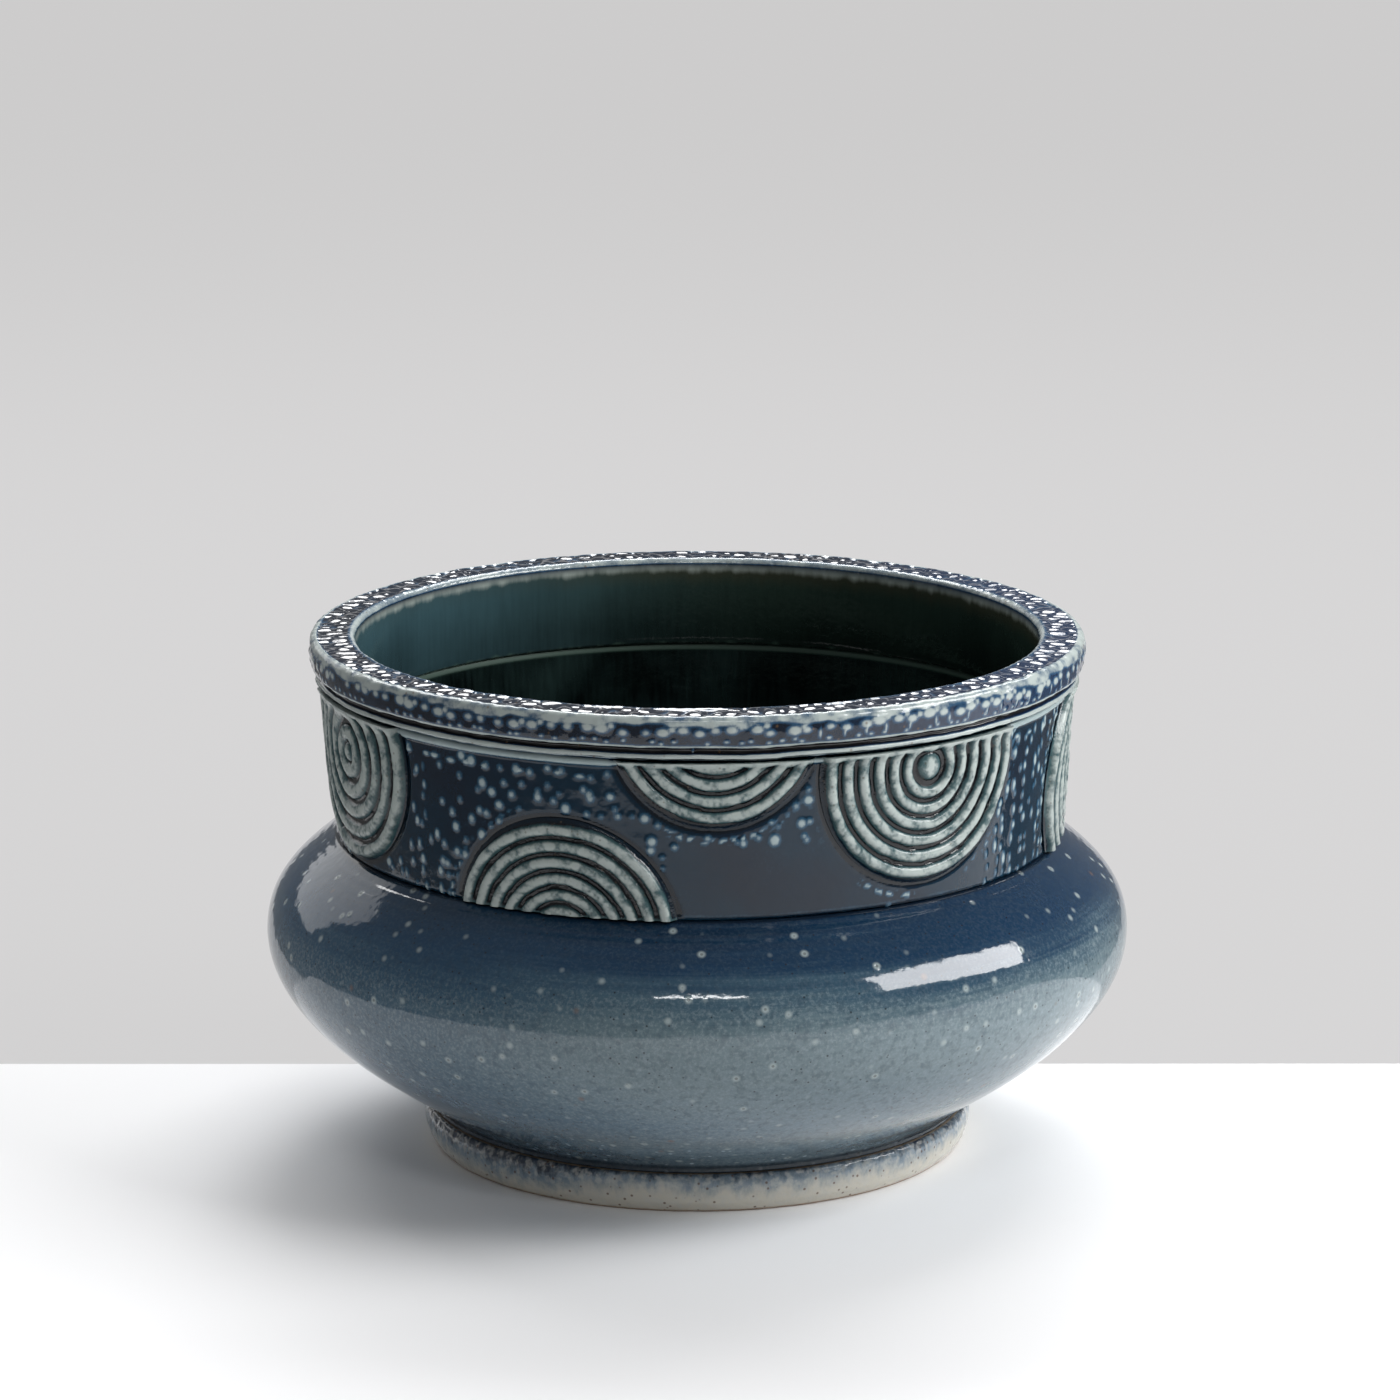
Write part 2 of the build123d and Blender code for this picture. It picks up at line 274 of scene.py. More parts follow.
# %% A turned element
class Turned:
    """One clay ring. Rows follow its section, out and up first, and columns go round from the front.

    A run is a name, its corners in mm, and the distance between its rows in mm."""

    def __init__(self, runs, columns, soften, ring=True):
        walk, spacing, label = [], [], []
        # The section is first walked in steps of 0.1 mm, then softened, and then thinned to its rows.
        fine = 0.1
        for name, corners, step in runs:
            corners = np.array(corners, float)
            for a, b in zip(corners, corners[1:]):
                count = max(1, int(np.ceil(np.hypot(*(b - a)) / fine)))
                walk.extend(a + (b - a) * np.arange(count)[:, None] / count)
                spacing.extend([step / (np.hypot(*(b - a)) / count)] * count)
                label.extend([name] * count)
        if not ring:
            walk.append(np.array(runs[-1][1][-1], float))
            spacing.append(1)
            label.append(runs[-1][0])
        walk = np.array(walk)
        walk = np.stack([blurred(walk[:, k], soften / fine, ring) for k in (0, 1)], 1)
        density = np.concatenate([[0], np.cumsum(1 / np.array(spacing))])[: len(walk)]
        rows = int(round(density[-1]))
        samples = np.arange(len(walk))
        picked = np.interp(np.linspace(0, density[-1], rows, endpoint=not ring), density, samples)
        self.ring, self.columns, self.rows = ring, columns, rows
        self.r = np.interp(picked, samples, walk[:, 0])
        self.z = np.interp(picked, samples, walk[:, 1])
        self.label = np.array(label)[np.minimum(picked.round().astype(int), len(label) - 1)]
        radii, heights = self.neighbours(self.r), self.neighbours(self.z)
        along_r, along_z = radii[1] - radii[0], heights[1] - heights[0]
        length = np.hypot(along_r, along_z)
        self.out, self.up = along_z / length, -along_r / length
        steps = np.hypot(np.diff(self.r), np.diff(self.z))
        self.s = np.concatenate([[0], np.cumsum(steps)])
        heading = np.arctan2(along_z, along_r)
        before, after = self.neighbours(heading)
        self.bend = ((after - before + pi) % (2 * pi) - pi) / length
        self.turn = np.arange(columns) / columns
        self.lift = np.zeros((rows, columns))
        self.sway = np.zeros((rows, columns))
        self.thin = np.zeros((rows, columns))
        self.marks = {}

    def neighbours(self, values):
        """The values one row before and one row after."""
        if self.ring:
            return np.roll(values, 1), np.roll(values, -1)
        return np.concatenate([values[:1], values[:-1]]), np.concatenate([values[1:], values[-1:]])

    def on(self, *names):
        """1 on the rows of these runs and 0 elsewhere, as a column."""
        return np.isin(self.label, names).astype(float)[:, None]

    def reach(self, name, z):
        """Length along the section at height z of a run that climbs."""
        rows = self.label == name
        return np.interp(z, self.z[rows], self.s[rows])

    def places(self):
        """Turns and lengths along the section, for every crossing."""
        return np.broadcast_arrays(self.turn[None, :], self.s[:, None])

    def noise(self, around, up, seed):
        return clouds(*self.places(), around, up, seed)

    def droplets(self, around, up, seed):
        return pebbles(*self.places(), around, up, seed)

    def break_edges(self, amount):
        """Glaze thins where the section bends outwards."""
        self.thin += np.clip(self.bend * amount, 0, 1)[:, None]

    def spot(self, angle, length, wide, tall, thin=1.0, lift=0.0):
        """A drop of thin, raised glaze at this angle in degrees and length along the section in mm."""
        rows = np.nonzero(np.abs(self.s - length) < tall)[0]
        if len(rows) == 0:
            return
        step = 2 * pi * self.r[rows].mean() / self.columns
        centre = angle / 360 * self.columns
        reach = int(wide / step) + 1
        columns = np.arange(int(centre) - reach, int(centre) + reach + 2)
        across = (columns - centre)[None, :] * step / wide
        along = (self.s[rows] - length)[:, None] / tall
        drop = np.clip(1 - across**2 - along**2, 0, 1)
        where = np.ix_(rows, columns % self.columns)
        self.thin[where] = np.maximum(self.thin[where], thin * drop**1.5)
        self.lift[where] += lift * drop**1.5

    def build(self, name, material):
        """The finished closed mesh, in metres, with its values stored for the glaze to read."""
        r = self.r[:, None] + self.out[:, None] * self.lift
        z = self.z[:, None] + self.up[:, None] * self.lift + self.sway
        turn = 2 * pi * self.turn[None, :]
        points = np.stack([r * np.sin(turn), -r * np.cos(turn), z + 0 * turn], -1).reshape(-1, 3) * mm
        columns = np.arange(self.columns)
        beside = (columns + 1) % self.columns
        faces = []
        values = {"thin": self.thin, **self.marks}
        values = {key: np.broadcast_to(v, self.lift.shape).reshape(-1) for key, v in values.items()}
        for row in range(self.rows if self.ring else self.rows - 1):
            this, above = row * self.columns, (row + 1) % self.rows * self.columns
            faces.append(np.stack([this + columns, this + beside, above + beside, above + columns], 1))
        faces = np.concatenate(faces)
        if not self.ring:
            # The first and last rows lie on the axis, so each of them becomes one point.
            last = (self.rows - 1) * self.columns
            faces[faces < self.columns] = 0
            faces[faces >= last] = last
        tidy = [tuple(dict.fromkeys(face)) for face in faces.tolist()]
        piece = mesh_object(name, points, [face for face in tidy if len(face) > 2], material)
        for key, v in values.items():
            store(piece, key, v)
        if not self.ring:
            shaped = bmesh.new()
            shaped.from_mesh(piece.data)
            loose = [v for v in shaped.verts if not v.link_faces]
            bmesh.ops.delete(shaped, geom=loose, context="VERTS")
            shaped.to_mesh(piece.data)
            shaped.free()
        print(f"{name}: {self.rows} rows by {self.columns} columns, {len(piece.data.polygons)} faces")
        return piece


# %% [markdown]
# ## Glazes
#
# One kiln firing makes every surface here, so the materials share their effects. Each effect is a node
# group that gives out colours, masks or heights, and each glaze places it with values of its own. The
# shader itself stays in the material: a clear, hard glass, so its gloss comes from a low roughness and
# from how strongly glass reflects.


# %% Helpers for node groups
class Nodes:
    """Short ways to add and join nodes in one tree."""

    def __init__(self, tree):
        self.tree = tree

    def add(self, kind, **settings):
        node = self.tree.nodes.new(kind)
        for key, value in settings.items():
            setattr(node, key, value)
        return node

    def put(self, socket, value):
        if isinstance(value, bpy.types.NodeSocket):
            self.tree.links.new(value, socket)
        else:
            socket.default_value = value

    def place(self):
        """The surface's own place, in metres."""
        return self.add("ShaderNodeTexCoord").outputs["Object"]

    def xyz(self):
        """The same place as its separate X, Y and Z."""
        split = self.add("ShaderNodeSeparateXYZ")
        self.put(split.inputs[0], self.place())
        return split.outputs

    def math(self, operation, first, second=0.5, third=0.5, clamp=False):
        node = self.add("ShaderNodeMath", operation=operation, use_clamp=clamp)
        for socket, value in zip(node.inputs, (first, second, third)):
            self.put(socket, value)
        return node.outputs[0]

    def between(self, value, low, high, to_low=0.0, to_high=1.0):
        """A smooth step from to_low to to_high as the value goes from low to high."""
        node = self.add("ShaderNodeMapRange", interpolation_type="SMOOTHSTEP")
        for socket, v in zip(node.inputs, (value, low, high, to_low, to_high)):
            self.put(socket, v)
        return node.outputs[0]

    def mix(self, share, first, second):
        """The first colour where the share is 0, and the second where it is 1."""
        node = self.add("ShaderNodeMix", data_type="RGBA")
        self.put(node.inputs[0], share)
        self.put(node.inputs[6], first)
        self.put(node.inputs[7], second)
        return node.outputs[2]

    def over(self, under, mask, strength, colour):
        """Lays a colour over another where the mask is, at this strength."""
        return self.mix(self.math("MULTIPLY", mask, strength), under, colour)

    def noise(self, scale, detail=2.0, stretch=(1, 1, 1), rough=0.5):
        """Soft noise from 0 to 1, with this many grains to the metre."""
        mapping = self.add("ShaderNodeMapping")
        mapping.inputs["Scale"].default_value = stretch
        self.put(mapping.inputs["Vector"], self.place())
        node = self.add("ShaderNodeTexNoise")
        self.put(node.inputs["Vector"], mapping.outputs[0])
        self.put(node.inputs["Scale"], scale)
        node.inputs["Detail"].default_value = detail
        node.inputs["Roughness"].default_value = rough
        return node.outputs["Fac"]

    def stored(self, name):
        """A value that the mesh carries at its points."""
        return self.add("ShaderNodeAttribute", attribute_name=name).outputs["Fac"]

    def group(self, group, **values):
        node = self.add("ShaderNodeGroup", node_tree=group)
        for key, value in values.items():
            self.put(node.inputs[key.replace("_", " ")], value)
        return node.outputs


def node_group(name, takes, gives):
    """A new group with named sockets: (name, kind, default) each way in and (name, kind) each way out."""
    tree = bpy.data.node_groups.new(name, "ShaderNodeTree")
    for socket, kind, default in takes:
        made = tree.interface.new_socket(name=socket, in_out="INPUT", socket_type=kind)
        made.default_value = default
    for socket, kind in gives:
        tree.interface.new_socket(name=socket, in_out="OUTPUT", socket_type=kind)
    nodes = Nodes(tree)
    inside = nodes.add("NodeGroupInput").outputs
    outside = nodes.add("NodeGroupOutput").inputs
    return tree, nodes, inside, outside


FLOAT, COLOR = "NodeSocketFloat", "NodeSocketColor"

# %% [markdown]
# **Broken glaze.** Where salt glaze is thin it is a pale celadon grey, in between it is blue, and where
# it pools it is almost black. The group turns the stored thinness into that colour. A coarse noise drifts
# the tone in clouds, and a fine one gives every border the soft, grainy edge that crystals leave.

# %% Broken glaze
broken_glaze, nodes, inside, outside = node_group(
    "broken_glaze",
    [
        ("Thin", FLOAT, 0.0),
        ("Pool", COLOR, srgb(22, 22, 30)),
        ("Body", COLOR, srgb(45, 75, 95)),
        ("Pale", COLOR, srgb(165, 175, 172)),
        ("Cloud Scale", FLOAT, 70.0),
        ("Clouds", FLOAT, 0.25),
        ("Grain Scale", FLOAT, 900.0),
        ("Grain", FLOAT, 0.3),
    ],
    [("Color", COLOR), ("Thin", FLOAT)],
)
cloud = nodes.math("SUBTRACT", nodes.noise(inside["Cloud Scale"], 4.0), 0.5)
grain = nodes.math("SUBTRACT", nodes.noise(inside["Grain Scale"], 3.0, rough=0.65), 0.5)
drift = nodes.math("MULTIPLY_ADD", cloud, inside["Clouds"], inside["Thin"])
drift = nodes.math("MULTIPLY_ADD", grain, inside["Grain"], drift, clamp=True)
to_body = nodes.between(drift, 0.04, 0.42)
to_pale = nodes.between(drift, 0.38, 0.8)
color = nodes.mix(to_pale, nodes.mix(to_body, inside["Pool"], inside["Body"]), inside["Pale"])
nodes.put(outside["Color"], color)
nodes.put(outside["Thin"], drift)

# %% [markdown]
# **Specks.** Iron in the clay burns through as tiny dark specks, and salt drops leave pale dots with a
# pinhole. Both are points scattered in space that the surface happens to cut: a point close to the
# surface shows as a full dot, and one further off as a smaller one, so no two are the same size.

# %% Specks
specks, nodes, inside, outside = node_group(
    "specks",
    [("Cell", FLOAT, 0.006), ("Size", FLOAT, 0.001), ("Soft", FLOAT, 0.5), ("Shift", FLOAT, 0.0)],
    [("Mask", FLOAT), ("Core", FLOAT)],
)
moved = nodes.add("ShaderNodeVectorMath", operation="ADD")
nodes.put(moved.inputs[0], nodes.place())
nodes.put(moved.inputs[1], inside["Shift"])
cells = nodes.add("ShaderNodeTexVoronoi")
nodes.put(cells.inputs["Vector"], moved.outputs[0])
nodes.put(cells.inputs["Scale"], nodes.math("DIVIDE", 1.0, inside["Cell"]))
distance = nodes.math("MULTIPLY", cells.outputs["Distance"], inside["Cell"])
share = nodes.math("DIVIDE", distance, inside["Size"])
core_end = nodes.math("SUBTRACT", 1.0, inside["Soft"])
nodes.put(outside["Mask"], nodes.between(share, core_end, 1.0, 1.0, 0.0))
nodes.put(outside["Core"], nodes.between(share, 0.2, 0.42, 1.0, 0.0))

# %% [markdown]
# **Orange peel.** Salt vapour settles in droplets that never quite melt flat. The group gives a height:
# rounded bumps a couple of millimetres wide, and a finer grain on them, which breaks every reflection's
# edge.

# %% Orange peel
orange_peel, nodes, inside, outside = node_group(
    "orange_peel",
    [("Scale", FLOAT, 450.0), ("Fine", FLOAT, 0.25)],
    [("Height", FLOAT)],
)
coarse = nodes.noise(inside["Scale"], 1.0)
fine = nodes.noise(nodes.math("MULTIPLY", inside["Scale"], 3.2), 2.0)
nodes.put(outside["Height"], nodes.math("MULTIPLY_ADD", fine, inside["Fine"], coarse))

# %% [markdown]
# ** Liner.** The inside was washed with a darker liner glaze that ran down in thin streaks. Its teal and
# black green are partly the liner's own tone and partly painted shade: teal near the rim, black green deeper
# in.

# %% Liner
liner, nodes, inside, outside = node_group(
    "liner",
    [("Deep", COLOR, srgb(6, 12, 12)), ("Thin", COLOR, srgb(60, 84, 82)), ("Shade", FLOAT, 0.5)],
    [("Color", COLOR), ("Height", FLOAT)],
)
streaks = nodes.noise(700.0, 3.0, (1, 1, 0.10))
patches = nodes.noise(30.0, 3.0)
# The Shade share mixes from Deep to Thin, the teal. It is partly painted shade, darker deeper inside the pot.
share = nodes.math("MULTIPLY_ADD", nodes.math("SUBTRACT", streaks, 0.5), 0.22, inside["Shade"])
share = nodes.math("MULTIPLY_ADD", nodes.math("SUBTRACT", patches, 0.5), 0.6, share, clamp=True)
nodes.put(outside["Color"], nodes.mix(share, inside["Deep"], inside["Thin"]))
nodes.put(outside["Height"], nodes.noise(160.0, 2.0, (1, 1, 0.3)))


# %% A new glaze
def new_glaze(name, ior=1.52):
    """A material whose shader is clear hard glass. Returns it with its nodes and its shader's sockets."""
    material = bpy.data.materials.new(name)
    material.use_nodes = True
    shader = material.node_tree.nodes["Principled BSDF"]
    shader.inputs["IOR"].default_value = ior
    return material, Nodes(material.node_tree), shader.inputs


def add_bump(nodes, shader, height, depth):
    """Presses a height map into the surface, to this depth in metres."""
    bump = nodes.add("ShaderNodeBump")
    bump.inputs["Strength"].default_value = 1.0
    bump.inputs["Distance"].default_value = depth
    nodes.put(bump.inputs["Height"], height)
    nodes.put(shader["Normal"], bump.outputs["Normal"])


# %% [markdown]
# ## The foot ring
#
# A coil turned true under the bowl. The glaze runs down it and stops short of the table: slate blue on
# top, a cream grey skin with rust specks lower down, and a thin toasted line of bare clay where it was
# wiped to stand.

# %% Foot ring clay
# Every size below is in mm, and so are the sizes of the other pieces.
foot_tread, foot_wall, boss_bottom, seat_radius = 82.9, 9.0, 8.4, 78.5
foot_inner = foot_tread - foot_wall
crown = foot_radius - 1.1
bulge_end = (crown + 0.7, 10.8)
foot = Turned(
    [
        ("outside", [(foot_tread, 0.0), (85.0, 3.2), (86.0, 6.4), (86.1, 9.0), bulge_end], 0.42),
        ("outside", np.vstack([[bulge_end], rounded((crown - 1.0, 10.9), 1.5, 0, 90)]), 0.35),
        ("joint", [(crown - 1.0, foot_height), (seat_radius, foot_height), (seat_radius, boss_bottom)], 2.0),
        ("underside", [(seat_radius, boss_bottom), (foot_inner, boss_bottom), (foot_inner, 0)], 1.2),
        ("tread", [(foot_inner, 0), (foot_tread, 0)], 1.2),
    ],
    columns=1000,
    soften=0.35,
)
foot.lift += foot.on("outside") * (0.16 * (foot.noise(9, 5, 11) - 0.5) + 0.1 * (foot.noise(3, 2, 12) - 0.5))
top_edge = np.exp(-(((foot.z - 11.2) / 1.2) ** 2))[:, None] * foot.on("outside")
foot.lift += top_edge * (0.7 * (foot.noise(3.6, 30, 13) - 0.65))
# Nothing bulges near the table or reaches below it.
foot.lift = np.where((foot.z < 0.6)[:, None], np.minimum(foot.lift, 0), foot.lift)
foot.z = np.maximum(foot.z, 0)
foot.break_edges(0.25)

# %% Foot ring glaze
foot_glaze, nodes, shader = new_glaze("foot_ring_glaze")
place = nodes.xyz()
level = place["Z"]
runs = nodes.math("SUBTRACT", nodes.noise(230.0, 5.0, (1, 1, 0.45), rough=0.65), 0.5)
wavy = nodes.math("MULTIPLY_ADD", runs, 12 * mm, level)
around = nodes.noise(11.0, 1.0, (1, 1, 0))
wavy = nodes.math("MULTIPLY_ADD", nodes.math("SUBTRACT", around, 0.5), 12 * mm, wavy)
left_rise = nodes.between(place["X"], -75 * mm, 0.0, 4.2 * mm, 0.0)
wavy = nodes.math("ADD", wavy, left_rise)
skin = nodes.mix(nodes.between(wavy, 5 * mm, 11.5 * mm), srgb(204, 200, 188), srgb(128, 144, 156))
slate = nodes.mix(nodes.between(wavy, 10.2 * mm, 14.5 * mm), skin, srgb(44, 56, 72))
mottled = nodes.mix(nodes.between(nodes.noise(480.0, 5.0), 0.44, 0.66, 0.0, 0.5), slate, srgb(198, 198, 192))
rust = nodes.group(specks, Cell=3 * mm, Size=0.6 * mm, Soft=0.6, Shift=0.3)["Mask"]
spotted = nodes.over(mottled, rust, 0.75, srgb(92, 62, 44))
toast_line = nodes.math("MULTIPLY_ADD", runs, 0.8 * mm, level)
bare = nodes.between(toast_line, 0.3 * mm, 1.1 * mm, 0.85, 0.0)
body = nodes.mix(bare, spotted, srgb(150, 122, 98))
raw_clay = nodes.mix(nodes.noise(800.0, 4.0), srgb(168, 150, 128), srgb(128, 108, 90))
hidden = nodes.stored("bare")
nodes.put(shader["Base Color"], nodes.mix(hidden, body, raw_clay))
dull = nodes.math("MAXIMUM", bare, hidden)
nodes.put(shader["Roughness"], nodes.between(dull, 0.0, 1.0, 0.13, 0.75))
peel = nodes.group(orange_peel, Scale=380.0, Fine=0.3)["Height"]
add_bump(nodes, shader, peel, 0.22 * mm)

# %% Foot ring piece
foot.marks["bare"] = foot.on("tread", "underside", "joint")
foot_piece = foot.build("foot_ring_glazed", foot_glaze)
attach(foot_piece, "root")
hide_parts("foot_ring")

# %% [markdown]
# ## The bowl
#
# The wide belly was thrown in one piece, with its floor, and turned underneath. The potter's finger marks
# stay as faint rings on the shoulder, where a cobalt wash was banded on while the wheel still ran. The
# whole is one section from the middle of the underside round to the middle of the floor.

# %% Bowl clay
bowl_start, strip_top = foot_radius - 2.2, foot_height + 1.6
belly_height = 68.8
belly = belly_radius - 0.12
seam_radius = 112.4
shoulder = radians(36.7)
handle = 0.49 * (seam_height - belly_height)
above_belly = (seam_radius + handle * cos(shoulder), seam_height - handle * sin(shoulder))
lower_handle = (belly, belly_height - 0.53 * (belly_height - strip_top))
below = bezier((bowl_start, strip_top), (bowl_start + 2, strip_top + 5), lower_handle, (belly, belly_height))
above = bezier((belly, belly_height), (belly, belly_height + handle), above_belly, (seam_radius, seam_height))
neck_radius, neck_top, bend_height = 101.6, seam_height + 8.0, 98.1
lip_outer = (neck_radius + 4.0, seam_height)
lip_outer_top = (neck_radius + 4.4, neck_top)
lip_round = 2.2
inner_belly = belly_radius - 7.5
inside_widest = (inner_belly, belly_height)
floor_radius, floor_top = 50, 16.9
inner_above = bezier((neck_radius, bend_height), (118.4, 85.6), (inner_belly, 81), inside_widest)
inner_below = bezier(inside_widest, (inner_belly, 46.9), (80, floor_top), (floor_radius, floor_top))
bowl = Turned(
    [
        ("underside", [(0, boss_bottom), (seat_radius, boss_bottom)], 2.0),
        ("joint", [(seat_radius, boss_bottom), (seat_radius, foot_height), (bowl_start, foot_height)], 2.5),
        ("strip", [(bowl_start, foot_height), (bowl_start, strip_top)], 0.5),
        ("outside", below, 1.3),
        ("outside", above, 1.0),
        ("joint", [(seam_radius, seam_height), lip_outer, lip_outer_top], 2.6),
        ("inside", [lip_outer_top, (neck_radius + lip_round, neck_top)], 1.6),
        ("inside", rounded((neck_radius + lip_round, neck_top - lip_round), lip_round, 90, 180), 0.8),
        ("inside", np.vstack([[(neck_radius, neck_top - lip_round)], inner_above]), 3.0),
        ("inside", inner_below, 4.5),
        ("inside", [(floor_radius, floor_top), (0, floor_top)], 4.5),
    ],
    columns=760,
    soften=0.4,
    ring=False,
)
on_belly = bowl.on("outside")
near_seam = np.exp(-np.clip((seam_height - bowl.z) / 7, 0, None))[:, None] * on_belly
rings = np.sin(2 * pi * bowl.z / 2.6 + 1.5 * np.sin(bowl.z / 3))[:, None]
bowl.lift += near_seam * (0.10 * rings - 0.1)
bowl.lift += on_belly * 0.12 * (bowl.noise(60, 14, 21) - 0.5) * smoothstep(0, 6, bowl.z - strip_top)[:, None]
turning = np.sin(2 * pi * bowl.r / 3.1)[:, None] * bowl.on("underside")
bowl.lift += 0.12 * turning * smoothstep(4, 12, bowl.r)[:, None]
throwing = np.sin(2 * pi * (bowl.s / 7.5)[:, None] + 2 * pi * bowl.turn[None, :])
bowl.lift += bowl.on("inside") * 0.22 * throwing * smoothstep(10, 20, bowl.r)[:, None]
# The relief fades out at the widest row, so that the belly keeps its true size.
bowl.lift *= smoothstep(0, 3, np.abs(bowl.z - belly_height))[:, None] * 0.999 + 0.001

# %% [markdown]
# The belly's glaze is the palest of the pot. Cobalt is strong on the shoulder and thins to a grey teal
# below it, with a dense fine mottle, iron specks and pale salt drops. The drops crowd together just above
# the foot, where they ran flat.

# %% Bowl glaze
belly_glaze, nodes, shader = new_glaze("belly_glaze")
place = nodes.xyz()
drifts = nodes.math("SUBTRACT", nodes.noise(16.0, 4.0, (1, 1, 2.2)), 0.5)
bands = nodes.math("SUBTRACT", nodes.noise(150.0, 4.0, (0.05, 0.05, 3.0), rough=0.7), 0.5)
level = nodes.math("MULTIPLY_ADD", drifts, 15 * mm, place["Z"])
level = nodes.math("MULTIPLY_ADD", bands, 17 * mm, level)
ramp = nodes.add("ShaderNodeValToRGB")
ramp_top = 100
tones_at_height = [
    (12, (50, 68, 84)),
    (20, (74, 96, 112)),
    (36, (78, 104, 124)),
    (55, (98, 116, 124)),
    (70, (86, 106, 114)),
    (81, (56, 82, 98)),
    (89, (16, 48, 74)),
    (98.5, (12, 36, 58)),
]
while len(ramp.color_ramp.elements) < len(tones_at_height):
    ramp.color_ramp.elements.new(0.5)
for stop, (z, tone) in zip(ramp.color_ramp.elements, tones_at_height):
    stop.position = z / ramp_top
    stop.color = srgb(*tone)
nodes.put(ramp.inputs[0], nodes.math("DIVIDE", level, ramp_top * mm))
left_share = nodes.between(place["X"], -100 * mm, -10 * mm, 0.5, 0.0)
blue_side = nodes.mix(left_share, ramp.outputs[0], srgb(36, 74, 104))
# Painted light: the lower belly is painted a lighter grey towards the right, where the window light and the
# bright table fall on it.
lit_right_share = nodes.between(place["X"], -120 * mm, 90 * mm)
below_band = nodes.between(level, 60 * mm, 80 * mm, 0.55, 0.0)
lit_grey_side = nodes.over(blue_side, lit_right_share, below_band, srgb(130, 146, 152))
cobalt_side = nodes.between(place["X"], 20 * mm, 110 * mm, 0.0, 0.85)
blue_band = nodes.between(level, 70 * mm, 90 * mm)
washed = nodes.over(lit_grey_side, cobalt_side, blue_band, srgb(10, 44, 72))
mottle = nodes.noise(950.0, 4.0, rough=0.7)
patch = nodes.noise(430.0, 4.0)
pale_share = nodes.between(blue_band, 0.0, 1.0, 0.42, 0.06)
light_mottle = nodes.mix(nodes.between(mottle, 0.42, 0.72, 0.0, pale_share), washed, srgb(150, 163, 168))
dark_mottle = nodes.mix(nodes.between(patch, 0.45, 0.72, 0.0, 0.34), light_mottle, srgb(38, 58, 74))
iron = nodes.group(specks, Cell=3 * mm, Size=0.42 * mm, Soft=0.5, Shift=0.1)["Mask"]
ironed = nodes.over(dark_mottle, iron, 0.75, srgb(34, 34, 38))
rust = nodes.group(specks, Cell=17 * mm, Size=1.6 * mm, Soft=0.7, Shift=0.7)["Mask"]
rusted = nodes.over(ironed, rust, 0.5, srgb(120, 88, 66))
salt = nodes.group(specks, Cell=8 * mm, Size=1.7 * mm, Soft=0.75, Shift=0.45)
dotted = nodes.over(rusted, salt["Mask"], 0.75, srgb(170, 182, 182))
pinned = nodes.over(dotted, salt["Core"], 0.55, srgb(60, 62, 66))
low = nodes.between(place["Z"], (foot_height + 9.6) * mm, (foot_height + 21.6) * mm, 1.0, 0.0)
flat_drops = nodes.group(specks, Cell=4.2 * mm, Size=0.9 * mm, Soft=0.7, Shift=0.9)["Mask"]
near_foot = nodes.over(pinned, nodes.math("MULTIPLY", flat_drops, low), 0.8, srgb(170, 186, 196))
# Pooled glaze and painted shade: dark navy in the crease just above the foot and just below the seam.
above_foot = nodes.between(place["Z"], (strip_top + 0.2) * mm, (strip_top + 2.5) * mm, 1.0, 0.0)
below_seam = nodes.between(place["Z"], (seam_height - 1.0) * mm, (seam_height - 0.2) * mm)
crevice_pool_and_shade = nodes.math("MAXIMUM", above_foot, below_seam)
outer = nodes.over(near_foot, crevice_pool_and_shade, 0.85, srgb(12, 22, 34))
# Painted highlight: a pale green line just under the top of the neck's lip inside. The dark liner below it is
# partly painted shade.
lip_edge_highlight = nodes.between(place["Z"], (neck_top - 2.9) * mm, (neck_top - 0.9) * mm)
lining = nodes.group(liner, Shade=0.12)
ledge_highlighted = nodes.over(lining["Color"], lip_edge_highlight, 0.55, srgb(78, 104, 92))
lined = nodes.mix(nodes.stored("inside"), outer, ledge_highlighted)
raw_clay = nodes.mix(nodes.noise(600.0, 4.0), srgb(164, 146, 124), srgb(124, 106, 90))
bare = nodes.stored("bare")
nodes.put(shader["Base Color"], nodes.mix(bare, lined, raw_clay))
on_ledge = nodes.math("MULTIPLY", lip_edge_highlight, nodes.stored("inside"))
gloss = nodes.between(on_ledge, 0.0, 1.0, 0.07, 0.45)
nodes.put(shader["Roughness"], nodes.between(bare, 0.0, 1.0, gloss, 0.75))
peel = nodes.group(orange_peel, Scale=210.0, Fine=0.22)["Height"]
raised = nodes.math("MULTIPLY_ADD", salt["Mask"], 0.5, peel)
raised = nodes.math("MULTIPLY_ADD", salt["Core"], -0.9, raised)
add_bump(nodes, shader, raised, 0.09 * mm)

# %% Bowl piece
bowl.marks["inside"] = bowl.on("inside")
bowl.marks["bare"] = bowl.on("underside", "joint") * (bowl.r < seam_radius - 3)[:, None]
bowl_piece = bowl.build("bowl_glazed", belly_glaze)
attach(bowl_piece, "root")
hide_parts("bowl")

# %% [markdown]
# ## The roundels' places
#
# Ten sprigs were pressed in three carved moulds and set round the collar by eye. Each place is an angle,
# the height of its centre, and its mould. The collar needs them too, because glaze pools in a dark line
# round every sprig and throws a fringe of pale drops just outside it.

# %% Moulds and places
# A mould is: radius, radius of the middle dome, centre of the first ring, ring spacing, ridge width, rings.
fine_mould = (36.0, 4.3, 7.9, 4.98, 3.1, 6)
bold_mould = (33.6, 3.2, 6.2, 6.15, 4.0, 5)
small_mould = (31.6, 4.3, 7.9, 4.9, 3.0, 5)
